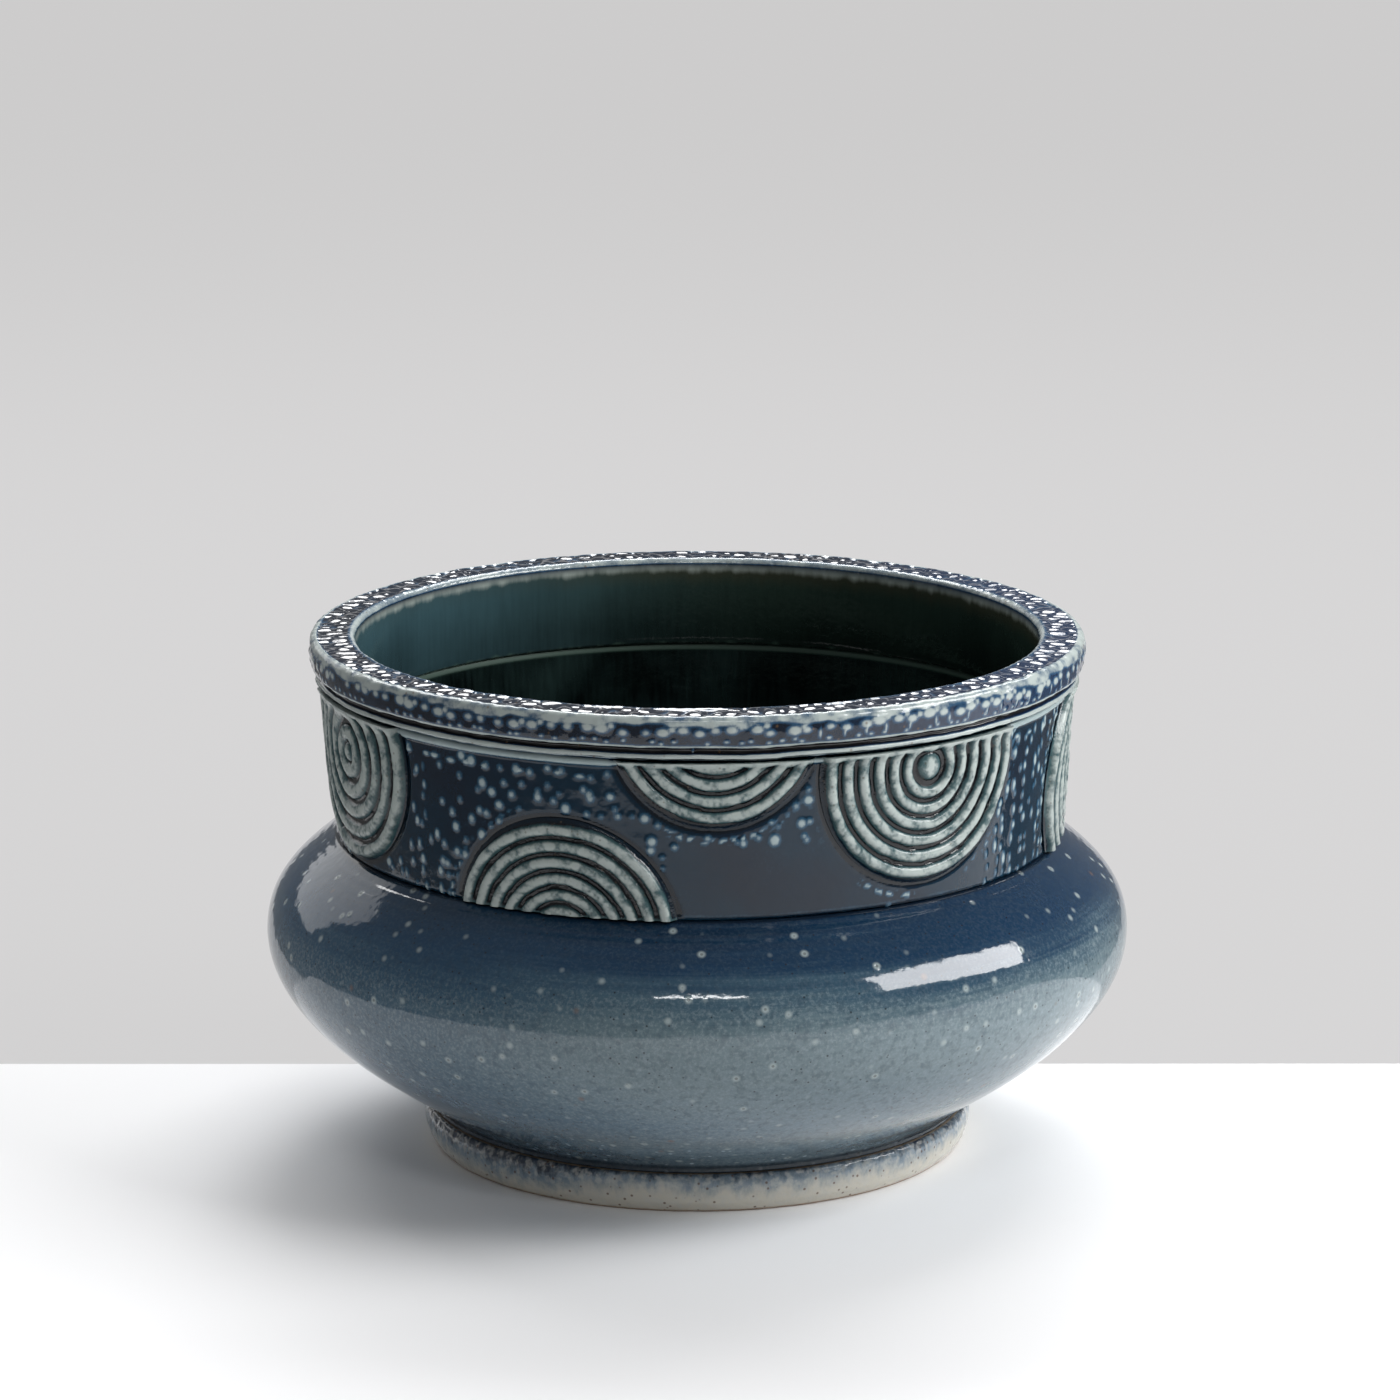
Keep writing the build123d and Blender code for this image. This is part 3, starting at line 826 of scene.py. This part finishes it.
# A place is: angle in degrees, height of the centre, and mould.
roundels = [
    (-66.0, collar_top - 13.9, bold_mould),
    (-20.7, seam_height - 6.1, fine_mould),
    (2.7, collar_top + 10.3, small_mould),
    (36.3, collar_top - 7.0, fine_mould),
    (86.0, seam_height + 19.1, bold_mould),
    (126.0, seam_height - 4.5, fine_mould),
    (152.0, collar_top + 9.0, small_mould),
    (188.0, collar_top - 8.0, fine_mould),
    (226.0, seam_height - 3.0, bold_mould),
    (258.0, collar_top + 3.0, fine_mould),
]
collar_radius, collar_flare, collar_wall = 115.2, 2.8, 6.8


def collar_outside(z):
    """Outer radius of the plain collar at height z."""
    return collar_radius - collar_flare * (collar_top - z) / (collar_top - seam_height)


def beyond_roundels(angle, z):
    """How far a place on the collar lies outside the nearest roundel, in mm. Inside one it is negative."""
    far_off = 99.0
    nearest = np.full(np.broadcast(angle, z).shape, far_off)
    for middle, centre, mould in roundels:
        across = np.radians((angle - middle + 180) % 360 - 180) * collar_outside(z)
        nearest = np.minimum(nearest, np.hypot(across, z - centre) - mould[0])
    return nearest


# %% [markdown]
# ## The collar
#
# A nearly straight wall, thrown apart and set on the shoulder. A tooled line runs round its top and shows
# only between the roundels. The salt fell on it from one side, so its drops are thick on the left, run
# down in streaks at the far right, and leave one calm plain field below the front roundels.

# %% Collar clay
lip_line, ledge = collar_top - 2.5, collar_top - 14.7
skirt_outer = 109.2
chamfer, ledge_round = 0.8, 1.2
seam_outer, low_inner = collar_outside(seam_height), collar_outside(seam_height) - collar_wall
ledge_inner = collar_outside(ledge) - collar_wall
line_foot = (collar_outside(lip_line), lip_line)
line = rounded((collar_radius - 0.35, collar_top - 1.25), 1.3, -68, 68, 11)
collar = Turned(
    [
        ("outside", [(seam_outer - chamfer, seam_height), (seam_outer, seam_height + chamfer)], 0.4),
        ("outside", [(seam_outer, seam_height + chamfer), line_foot], 0.66),
        ("outside", np.vstack([[line_foot], line, [(collar_radius, collar_top)]]), 0.45),
        ("joint", [(collar_radius, collar_top), (skirt_outer, collar_top), (skirt_outer, ledge)], 4.0),
        ("inside", [(skirt_outer, ledge), (ledge_inner + ledge_round, ledge)], 0.6),
        ("inside", rounded((ledge_inner + ledge_round, ledge - ledge_round), ledge_round, 90, 180), 0.4),
        ("inside", [(ledge_inner, ledge - ledge_round), (low_inner, seam_height)], 4.0),
        ("joint", [(low_inner, seam_height), (seam_outer - chamfer, seam_height)], 3.0),
    ],
    columns=1080,
    soften=0.28,
)
wall = collar.on("outside")
degrees = 360 * collar.turn[None, :]
outside_by = beyond_roundels(degrees, collar.z[:, None])
collar.break_edges(1.0)
collar.lift += wall * (0.5 * (collar.noise(45, 22, 31) - 0.5) + 0.10 * (collar.noise(5, 4, 32) - 0.5))
near_top = smoothstep(3, 0, collar_top - collar.z)[:, None]
collar.sway = wall * 0.35 * (collar.noise(9, 200, 33) - 0.5) * near_top
line_breaks = smoothstep(0.15, 0.4, collar.noise(4, 200, 34))
on_line = np.exp(-(((collar.z - collar_top + 1.25) / 1.0) ** 2))[:, None]
collar.thin = np.maximum(collar.thin, 0.9 * on_line * line_breaks) * wall
collar.thin *= smoothstep(seam_height + 0.8, seam_height + 1.6, collar.z)[:, None]


# %% Salt drops on the collar
calm_top, sparse_top = 122, 120


def drop_chance(angle, z):
    """How likely a drop is at this place, from 0 to 1: high on the left, low in front, 1 in the streaks."""
    angle = (angle + 180) % 360 - 180
    patches = clouds(np.array(angle / 360 % 1), np.array(z - seam_height), 32, 22, 41)
    chance = 0.15 + 0.75 * float(patches)
    if -56 < angle < -4:
        chance = 0.75
    if 0 < angle < 24 and z > calm_top or 14 < angle < 22:
        chance = 0.8 if z > sparse_top else 0.2
    if -3 < angle < 50 and z < calm_top:
        chance = 0.07
    if 50 < angle < 72:
        chance = 1.0
    return chance


random = np.random.default_rng(42)
drop_count = 0
for z in np.arange(seam_height + 2.5, lip_line - 1.5, 4.6):
    for angle in np.arange(-180, 180, 2.5):
        a = angle + random.uniform(-1.1, 1.1)
        h = z + random.uniform(-2.0, 2.0)
        luck, size, tilt = random.random(3)
        gap = float(beyond_roundels(a, h))
        streaky = 50 < a < 72 or -53 < a < -42
        if gap < 1.8 or luck > drop_chance(a, h):
            continue
        wide = 0.85 + 0.35 * size if streaky else 1.05 + 0.8 * size
        tall = wide * (1.3 + 0.9 * tilt if streaky else 0.9 + 0.3 * tilt)
        collar.spot(a, collar.reach("outside", h), 1.3 * wide, 1.3 * tall, 0.52 + 0.4 * size, 0.3)
        drop_count += 1
for angle in np.arange(-180, 180, 3.0):
    a, size = angle + random.uniform(-0.8, 0.8), random.random()
    h = lip_line - 3.2 + random.uniform(-0.5, 0.5)
    if float(beyond_roundels(a, h)) > 2 and size > 0.2:
        collar.spot(a, collar.reach("outside", h), 1.4 + 1.3 * size, 1.2, 0.85, 0.3)
        drop_count += 1
print(drop_count, "salt drops on the collar")

# %% The dark line and the pale fringe round each roundel
above_seam = smoothstep(seam_height, seam_height + 2, collar.z)[:, None]
pooled = smoothstep(1.9, 0.7, outside_by) * wall * above_seam
fringe = np.exp(-(((outside_by - 3.6) / 1.1) ** 2)) * wall
fringe_drops = smoothstep(0.25, 0.9, collar.droplets(3.3, 3.1, 43))
where_fringed = smoothstep(0.45, 0.7, collar.noise(20, 30, 44))
collar.thin = np.maximum(collar.thin, 0.75 * fringe * fringe_drops * where_fringed)
collar.lift += 0.15 * fringe * fringe_drops * where_fringed
collar.thin = np.where(collar.z[:, None] < lip_line - 0.6, collar.thin * (1 - pooled), collar.thin)
collar.lift = collar.lift * (1 - 0.8 * pooled) - 0.4 * pooled
collar.marks["pooled"] = pooled
collar.marks["inside"] = collar.on("inside")

# %% [markdown]
# The collar's glaze is the darkest: navy, drifting to plum where it is thick, with teal clouds round the
# drops.

# %% Collar glaze
collar_glaze, nodes, shader = new_glaze("collar_glaze", ior=1.45)
plum = nodes.between(nodes.noise(24.0, 3.0), 0.46, 0.64)
deep = nodes.mix(plum, srgb(4, 36, 54), srgb(14, 30, 46))
deep = nodes.mix(nodes.stored("pooled"), deep, srgb(6, 16, 26))
glaze = nodes.group(
    broken_glaze,
    Thin=nodes.stored("thin"),
    Pool=deep,
    Body=srgb(44, 80, 104),
    Pale=srgb(160, 176, 178),
    Cloud_Scale=85.0,
    Clouds=0.42,
    Grain_Scale=1100.0,
    Grain=0.28,
)
lining = nodes.group(liner, Shade=0.06)
# Painted highlight: a pale green line along the inner ledge. The dark liner around it is partly painted
# shade.
near_ledge = nodes.between(nodes.xyz()["Z"], (ledge - 2.8) * mm, (ledge - 1.4) * mm)
on_ledge = nodes.math("MULTIPLY", near_ledge, nodes.stored("inside"))
ledge_highlighted = nodes.over(lining["Color"], on_ledge, 0.6, srgb(72, 98, 86))
nodes.put(shader["Base Color"], nodes.mix(nodes.stored("inside"), glaze["Color"], ledge_highlighted))
gloss = nodes.between(glaze["Thin"], 0.3, 0.9, 0.10, 0.24)
nodes.put(shader["Roughness"], nodes.between(on_ledge, 0.0, 1.0, gloss, 0.6))
peel = nodes.group(orange_peel, Scale=330.0, Fine=0.3)["Height"]
add_bump(nodes, shader, peel, 0.07 * mm)

# %% Collar piece
collar_piece = collar.build("collar_glazed", collar_glaze)
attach(collar_piece, "root")
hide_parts("collar")

# %% [markdown]
# ## The rim
#
# A heavy flat rim, with two tooled grooves and a bead under its face. Its edges are rolled and fire pale.
# The flat top caught the most salt, and its orange peel is drawn out across the rim, because the glaze
# crept towards both edges. Under the outer edge the drops line up in a row, where each ran down until it
# held.

# %% Rim clay
mouth_radius = 106.1
face_end = rim_radius - 0.6
outer_round, inner_round, skirt_round = 2.2, 2.0, 0.9
outer, inner = rim_radius - 0.1 - outer_round, mouth_radius + inner_round
groove_radius, bead_radius, undercut = rim_radius - 3.2, collar_radius + 3.4, collar_radius + 0.9
bead_low, bead_high = collar_top + 1.2, collar_top + 2.2
groove_low, groove_high, face_low = collar_top + 3.0, collar_top + 3.9, collar_top + 4.8
fullest = rim_radius + 0.1
face_top = (rim_radius - 0.1, height - outer_round)
face = bezier((face_end, face_low), (fullest, height - 6.8), (fullest, height - 4.8), face_top, 12)
rim = Turned(
    [
        ("under", [(undercut, collar_top), (undercut, collar_top + 0.6), (bead_radius, bead_low)], 0.4),
        ("bead", [(bead_radius, bead_low), (bead_radius, bead_high)], 0.3),
        ("groove", [(bead_radius, bead_high), (groove_radius, groove_low)], 0.35),
        ("groove", [(groove_radius, groove_low), (groove_radius, groove_high), (face_end, face_low)], 0.35),
        ("face", face, 0.5),
        ("edge", rounded((outer, height - outer_round), outer_round, 0, 90), 0.45),
        ("top", [(outer, height), (inner, height)], 0.6),
        ("edge", rounded((inner, height - inner_round), inner_round, 90, 180), 0.5),
        ("inside", [(mouth_radius, height - inner_round), (mouth_radius, ledge + skirt_round)], 2.2),
        ("inside", rounded((mouth_radius + skirt_round, ledge + skirt_round), skirt_round, 180, 270), 0.35),
        ("inside", [(mouth_radius + skirt_round, ledge), (skirt_outer, ledge)], 0.8),
        ("joint", [(skirt_outer, ledge), (skirt_outer, collar_top), (undercut, collar_top)], 4.0),
    ],
    columns=1300,
    soften=0.22,
)
top, edges, face_rows = rim.on("top"), rim.on("edge"), rim.on("face")
tooled = rim.on("under", "bead", "groove")
rim.break_edges(1.5)
ripple = rim.droplets(4.8, 5.8, 51) * 0.45 + rim.noise(3.6, 5.0, 52) * 0.55
rim.lift += (top + 0.35 * edges) * (0.85 * (ripple - 0.85))
rim.lift += (face_rows + edges) * 0.16 * (rim.noise(5, 3, 53) - 0.6)
rim.lift += (face_rows + tooled) * 0.10 * (rim.noise(24, 60, 54) - 0.5)
rim.lift += tooled * 0.28 * (rim.noise(3.2, 1.2, 55) - 0.55)
rim.sway = (tooled + 0.6 * face_rows) * 0.5 * (rim.noise(16, 400, 56) - 0.5)
# Nothing rises above the rim's true height.
rim.lift = np.where((rim.z > height - 0.4)[:, None], np.minimum(rim.lift, 0), rim.lift)
rim.thin = rim.thin + top * 0.35 * smoothstep(0.35, 0.05, ripple)
runs = rim.noise(3.4, 400, 58) * 0.6 + rim.noise(11, 400, 59) * 0.4
pale_edge = smoothstep(0.8, -0.8, height - rim.z[:, None] - 1.6 - 2.6 * runs) * (face_rows + edges)
pale_edge *= (rim.r > rim_radius - 6)[:, None]
rim.thin = np.maximum(rim.thin, pale_edge * (0.6 + 0.5 * rim.noise(2.4, 2.0, 60)))
rim.thin = rim.thin * (1 - 0.3 * rim.noise(6, 3, 57)) * (1 - rim.on("inside", "joint"))

# %% Salt drops on the rim's face
face_mid = collar_top + 9.6
for angle in np.arange(0, 360, 2.65):
    a, size, low = angle + random.uniform(-0.5, 0.5), random.random(), random.uniform(-0.7, 0.5)
    at = rim.reach("face", face_mid + low)
    if size > 0.08:
        rim.spot(a, at + 0.5 * size, 2.1 + 1.6 * size, 1.5 + 0.9 * size, 0.7 + 0.3 * size, 0.3)
    if size > 0.6:
        rim.spot(a + 1.3, at + 1.3, 1.9, 1.7, 0.8, 0.2)
for angle in np.arange(0, 360, 1.9):
    a, size, low = angle + random.uniform(-0.6, 0.6), random.random(), random.uniform(-0.4, 0.5)
    if size > 0.3:
        rim.spot(a, rim.reach("face", collar_top + 6.4 + low), 1.0 + 0.6 * size, 1.0, 0.75, 0.2)
for angle in np.arange(18, 70, 3.4):
    a = angle + random.uniform(-0.8, 0.8)
    rim.spot(a, rim.reach("face", face_mid - 1.6), 0.9, 2.6, 0.75, 0.2)
# One drip near the middle bridges the grooves.
bridge = rim.s[rim.label == "groove"].mean()
rim.spot(-0.5, bridge, 0.55, 2.0, 1.0, 1.3)
rim.marks["inside"] = rim.on("inside")
rim.marks["pooled"] = np.clip(-rim.bend * 0.9, 0, 1)[:, None] * tooled

# %% [markdown]
# The rim shares the collar's glaze but is richer in cobalt. Inside, the liner starts teal below the
# rolled edge and darkens downwards, which is painted shade in the mouth. The inner wall is painted lighter
# on the left, where the light from the right falls, and a painted highlight runs along the ledge.

# %% Rim glaze
rim_glaze, nodes, shader = new_glaze("rim_glaze")
place = nodes.xyz()
plum = nodes.between(nodes.noise(30.0, 3.0), 0.45, 0.6)
deep = nodes.mix(plum, srgb(10, 26, 44), srgb(17, 25, 38))
cobalt = nodes.between(place["X"], 30 * mm, 100 * mm, 0.0, 0.6)
deep = nodes.mix(cobalt, deep, srgb(16, 46, 82))
deep = nodes.mix(nodes.stored("pooled"), deep, srgb(20, 18, 20))
glaze = nodes.group(
    broken_glaze,
    Thin=nodes.stored("thin"),
    Pool=deep,
    Body=srgb(46, 78, 106),
    Pale=srgb(172, 182, 180),
    Cloud_Scale=110.0,
    Clouds=0.35,
    Grain_Scale=1000.0,
    Grain=0.32,
)
brown = nodes.group(specks, Cell=4 * mm, Size=0.6 * mm, Soft=0.6, Shift=0.2)["Mask"]
speckled = nodes.over(glaze["Color"], brown, 0.5, srgb(104, 78, 46))
# Painted shade: the liner darkens from the rolled edge down into the mouth.
shade = nodes.between(place["Z"], (ledge + 2.0) * mm, (height - 2.8) * mm, 0.22, 0.7)
# Painted light: the inner wall on the left, which the light from the right falls on, is painted lighter and
# bluer.
left = nodes.between(place["X"], -100 * mm, 30 * mm, 1.0, 0.0)
liner_teal_lit_left = nodes.mix(left, srgb(48, 66, 58), srgb(62, 90, 98))
lining = nodes.group(liner, Shade=nodes.math("MULTIPLY_ADD", left, 0.22, shade), Thin=liner_teal_lit_left)
hanging = nodes.math("SUBTRACT", nodes.noise(210.0, 4.0, (1, 1, 0.25)), 0.5)
wavy = nodes.math("MULTIPLY_ADD", hanging, 4 * mm, place["Z"])
brown_share = nodes.between(left, 0.0, 1.0, 0.7, 0.1)
brownish = nodes.between(wavy, (height - 10.3) * mm, (height - 3.8) * mm, 0.0, brown_share)
browned = nodes.mix(brownish, lining["Color"], srgb(66, 66, 52))
pale_roll = nodes.between(wavy, (height - 5.4) * mm, (height - 2.2) * mm)
rolled = nodes.mix(pale_roll, browned, srgb(168, 178, 172))
# Painted highlight: a pale green line along the ledge inside.
near_ledge = nodes.between(wavy, (ledge - 1.0) * mm, (ledge + 1.0) * mm, 1.0, 0.0)
ledge_highlighted = nodes.over(rolled, near_ledge, 0.6, srgb(84, 112, 98))
nodes.put(shader["Base Color"], nodes.mix(nodes.stored("inside"), speckled, ledge_highlighted))
gloss = nodes.between(glaze["Thin"], 0.3, 0.9, 0.07, 0.2)
on_ledge = nodes.math("MULTIPLY", near_ledge, nodes.stored("inside"))
nodes.put(shader["Roughness"], nodes.between(on_ledge, 0.0, 1.0, gloss, 0.5))
peel = nodes.group(orange_peel, Scale=420.0, Fine=0.3)["Height"]
add_bump(nodes, shader, peel, 0.06 * mm)

# %% Rim piece
rim_piece = rim.build("rim_glazed", rim_glaze)
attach(rim_piece, "root")
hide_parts("rim")

# %% [markdown]
# ## The roundels
#
# A potter presses soft clay into a carved plaster mould, lifts the sprig out flat, trims it with a knife
# where it would reach past the collar, and bends it onto the wall. The code takes the same steps: a flat
# disc gets its ridges, a knife cuts it along the rim and the seam, and the rest is wrapped round the
# collar. Bending a finished relief keeps every ridge whole, where a relief carved into the curved wall
# would need its own grid there.


# %% The relief of a pressed disc
def pressed_relief(u, v, mould, top_gap, low_gap, seed):
    """Height, glaze thinness and flat margin of a flat disc. The gaps are the mm to the knife's two cuts."""
    radius, dome, first, spacing, width, rings = mould
    far = np.hypot(u, v)

    def noise(grain, other, offset):
        return clouds(0.5 + u / girth, v + 60, grain, other, seed + offset)

    wandering = far + 0.9 * (noise(15, 15, 1) - 0.5) + 0.25 * (noise(4, 4, 2) - 0.5)
    crown = 0.92 * np.sqrt(np.clip(1 - (far / dome) ** 2, 0, 1))
    for ring in range(rings):
        across = (wandering - first - ring * spacing) / (0.6 * width)
        ridge_top = np.sqrt(np.clip(1 - np.abs(across) ** 2.1, 0, 1))
        crown = np.maximum(crown, ridge_top * (0.9 + 0.1 * noise(9, 9, 3)))
    lip_reach = 1.3 + 1.6 * noise(3.5, 50, 4)
    lip = smoothstep(1.0, 0.35, top_gap / lip_reach)
    crown = np.maximum(crown, lip * (0.75 + 0.2 * noise(2.2, 2.2, 5)))
    low_lip = smoothstep(1.0, 0.2, low_gap / (0.7 + 0.6 * noise(3.5, 50, 6)))
    crown = np.maximum(crown, 0.35 * low_lip)
    rough = 0.16 * (noise(1.3, 1.3, 7) - 0.5) + 0.22 * (noise(5, 5, 8) - 0.5)
    pad, ridge, lip_out = 0.8, 2.4, 1.2
    raised = pad + (ridge - pad) * crown + rough * (0.25 + 0.75 * crown)
    raised += lip_out * smoothstep(3.6, 0, top_gap)
    raised *= smoothstep(0, 1.9, radius - far)
    patchy = 0.08 + 0.6 * noise(2.6, 2.6, 9) + 0.45 * noise(0.9, 0.9, 10)
    thin = 0.3 * smoothstep(0.0, 0.35, crown) + 0.7 * smoothstep(0.0, 0.95, crown**2) * patchy
    thin = np.maximum(thin, (0.9 * lip + 0.25 * low_lip * crown) * (0.6 + 0.5 * noise(2.2, 2.2, 11)))
    return raised, thin, smoothstep(radius - 1.7, radius - 0.9, far)


# %% Press, trim and bend one roundel
bed, bend_radius = 0.6, 114.0
knife_top, knife_low = collar_top - 0.4, seam_height + 0.4


def roundel_piece(name, angle, centre, mould, seed, material):
    """One sprig: pressed as a flat disc, trimmed at the rim and the seam, and bent onto the collar."""
    radius, row_step = mould[0], 0.42
    columns, rows = 320, int(radius / row_step)
    far = np.linspace(0, radius, rows + 1)[1:]
    turn = 2 * pi * np.arange(columns) / columns
    u = np.concatenate([[0], (far[:, None] * np.cos(turn)).ravel()])
    v = np.concatenate([[0], (far[:, None] * np.sin(turn)).ravel()])
    top_gap, low_gap = knife_top - centre - v, centre + v - knife_low
    raised, thin, margin = pressed_relief(u, v, mould, top_gap, low_gap, seed)
    back = np.array([1.0, 0.75, 0.5, 0.25]) * radius
    u = np.concatenate([u, (back[:, None] * np.cos(turn)).ravel(), [0]])
    v = np.concatenate([v, (back[:, None] * np.sin(turn)).ravel(), [0]])
    hidden = len(back) * columns + 1
    raised = np.concatenate([raised, np.full(hidden, -bed)])
    thin = np.concatenate([thin, np.zeros(hidden)])
    margin = np.concatenate([margin, np.ones(hidden)])
    here = np.arange(columns)
    beside = (here + 1) % columns
    faces = [(0, int(a), int(b)) for a, b in zip(1 + here, 1 + beside)]
    for row in range(rows + len(back) - 1):
        low, high = 1 + row * columns, 1 + (row + 1) * columns
        faces += np.stack([low + here, high + here, high + beside, low + beside], 1).tolist()
    last = 1 + (rows + len(back) - 1) * columns
    faces += [(int(b), int(a), len(u) - 1) for a, b in zip(last + here, last + beside)]
    piece = mesh_object(name, np.stack([u, v, raised], 1), faces, material)
    store(piece, "thin", thin)
    store(piece, "margin", margin)
    sprig = bmesh.new()
    sprig.from_mesh(piece.data)
    for cut, outward in ((knife_top - centre, 1), (knife_low - centre, -1)):
        whole = sprig.verts[:] + sprig.edges[:] + sprig.faces[:]
        knife = {"plane_co": (0, cut, 0), "plane_no": (0, outward, 0)}
        made = bmesh.ops.bisect_plane(sprig, geom=whole, clear_outer=True, **knife)
        cut_edges = [e for e in made["geom_cut"] if isinstance(e, bmesh.types.BMEdge) and e.is_boundary]
        if cut_edges:
            bmesh.ops.contextual_create(sprig, geom=cut_edges)
    bmesh.ops.recalc_face_normals(sprig, faces=sprig.faces[:])
    open_edges = sum(e.is_boundary for e in sprig.edges)
    sprig.to_mesh(piece.data)
    sprig.free()
    flat = np.empty(len(piece.data.vertices) * 3)
    piece.data.vertices.foreach_get("co", flat)
    u, v, raised = flat.reshape(-1, 3).T
    z = centre + v
    around = radians(angle) + u / bend_radius
    out = collar_outside(z) + raised
    bent = np.stack([out * np.sin(around), -out * np.cos(around), z], 1) * mm
    piece.data.vertices.foreach_set("co", bent.ravel())
    piece.data.polygons.foreach_set("use_smooth", [True] * len(piece.data.polygons))
    piece.data.set_sharp_from_angle(angle=radians(55))
    piece.data.update()
    print(f"{name}: {len(piece.data.polygons)} faces, {open_edges} open edges")
    return piece


# %% [markdown]
# On the ridges the glaze is almost wiped away and shows pale celadon, their flanks are teal, and the
# valleys hold plum black pools, as glossy as tar.

# %% Roundel glaze
roundel_glaze, nodes, shader = new_glaze("roundel_glaze", ior=1.45)
pool = nodes.mix(nodes.stored("margin"), srgb(13, 14, 20), srgb(3, 24, 38))
glaze = nodes.group(
    broken_glaze,
    Thin=nodes.stored("thin"),
    Pool=pool,
    Body=srgb(58, 84, 88),
    Pale=srgb(168, 178, 175),
    Cloud_Scale=160.0,
    Clouds=0.3,
    Grain_Scale=1300.0,
    Grain=0.3,
)
brown = nodes.group(specks, Cell=3 * mm, Size=0.5 * mm, Soft=0.6, Shift=0.5)["Mask"]
nodes.put(shader["Base Color"], nodes.over(glaze["Color"], brown, 0.45, srgb(86, 74, 58)))
nodes.put(shader["Roughness"], nodes.between(glaze["Thin"], 0.2, 0.8, 0.09, 0.26))
crackle = nodes.noise(1500.0, 3.0)
peel = nodes.group(orange_peel, Scale=600.0, Fine=0.5)["Height"]
add_bump(nodes, shader, nodes.math("MULTIPLY_ADD", crackle, 0.35, peel), 0.14 * mm)

# %% All ten roundels
for number, (angle, centre, mould) in enumerate(roundels, 1):
    name, seed = f"roundel_{number:02d}_pressed", 100 * number
    sprig_piece = roundel_piece(name, angle, centre, mould, seed, roundel_glaze)
    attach(sprig_piece, "root")
    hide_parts(f"roundel_{number:02d}")
